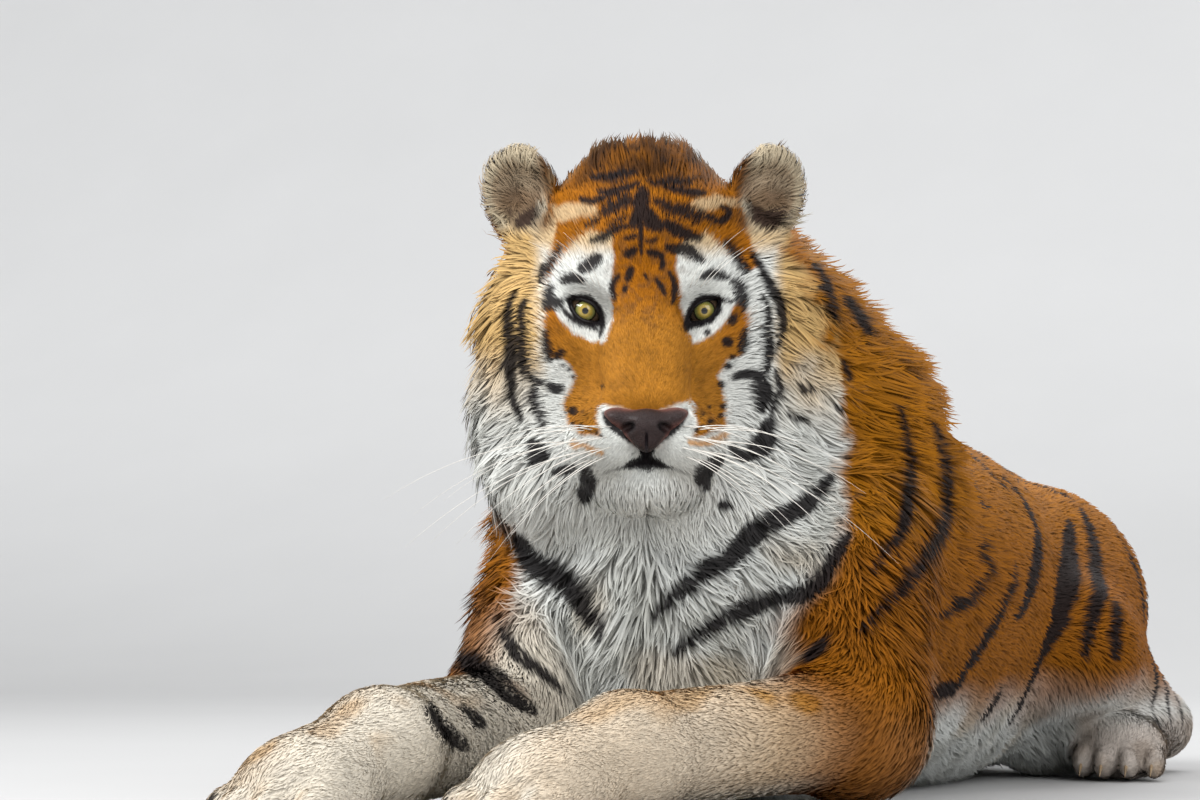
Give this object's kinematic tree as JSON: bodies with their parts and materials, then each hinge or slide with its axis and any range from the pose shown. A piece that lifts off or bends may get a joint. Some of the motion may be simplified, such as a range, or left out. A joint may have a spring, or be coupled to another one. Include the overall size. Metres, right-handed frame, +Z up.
{
  "type": "siberian tiger",
  "caption": "Life-size still model of a siberian tiger lying on its chest with its head raised and turned to its left and its forelegs stretched ahead.",
  "frame": {"origin": "Centre of the bounding box in X and Y, on the floor plane that the tiger rests on.", "axes": "+Z is up. The body lies along Y and looks along -Y. +X is the tiger's left side."},
  "size_m": [0.8276, 2.111, 0.724],
  "materials": {
    "body_coat": "dense orange winter fur with near-black stripes",
    "mane_coat": "long soft fur, orange at the nape and off-white on the throat",
    "face_coat": "short face fur with a long off-white ruff and dark bars",
    "leg_coat": "short pale fur with a few dark bars",
    "nose_skin": "moist pebbled nose leather",
    "eye": "clear wet cornea over a yellow-olive iris",
    "whisker": "stiff white whiskers",
    "claw": "horn"
  },
  "bodies": {
    "root": {"head": "face_coat", "ear_left": "face_coat", "ear_right": "face_coat", "nose": "nose_skin", "eye_left": "eye", "eye_right": "eye", "neck": "mane_coat", "chest": "body_coat", "belly": "body_coat", "hindquarters": "body_coat", "upper_arm_left": "body_coat", "upper_arm_right": "body_coat", "forearm_left": "leg_coat", "forearm_right": "leg_coat", "forepaw_left": "leg_coat", "forepaw_right": "leg_coat", "thigh_left": "body_coat", "thigh_right": "body_coat", "shank_left": "leg_coat", "shank_right": "leg_coat", "hindpaw_left": "leg_coat", "hindpaw_right": "leg_coat", "tail_1": "body_coat", "tail_2": "body_coat", "tail_3": "body_coat", "tail_4": "body_coat"}
  },
  "joints": []
}
